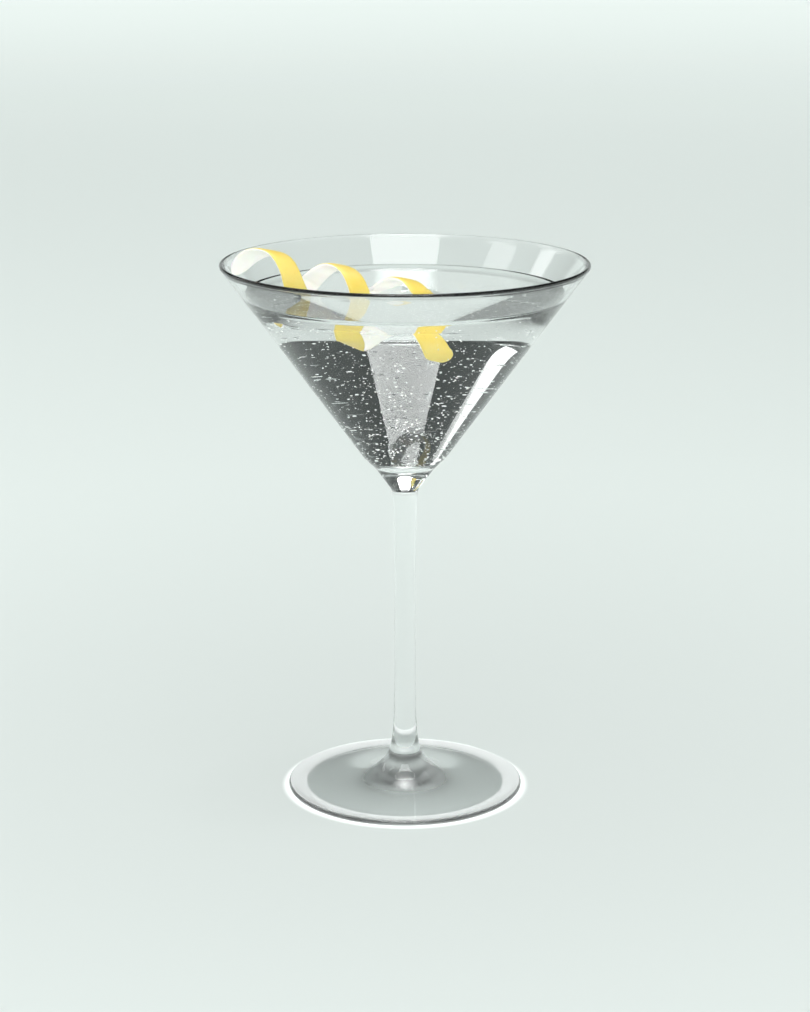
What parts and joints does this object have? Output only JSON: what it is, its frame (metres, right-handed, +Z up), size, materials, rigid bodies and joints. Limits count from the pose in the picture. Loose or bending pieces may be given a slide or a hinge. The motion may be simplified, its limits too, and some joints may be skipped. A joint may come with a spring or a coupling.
{
  "type": "martini cocktail",
  "caption": "Stemmed cone glass with a round foot, filled with a clear drink, and a spiral strip of lemon peel leaning on the wall inside.",
  "frame": {"origin": "centre of the foot's underside, on the table", "axes": "+Z up along the stem, +X to the right across the rim with the leaning end of the peel at -X, -Y towards the viewer"},
  "size_m": [0.116, 0.116, 0.179],
  "materials": {
    "glass": "clear, fire-polished",
    "drink": "clear spirit, faintly grey",
    "peel": "lemon peel: dimpled yellow outside, soft white pith inside"
  },
  "bodies": {
    "root": {"glass": "glass", "drink": "drink", "twist": "peel"}
  },
  "joints": []
}
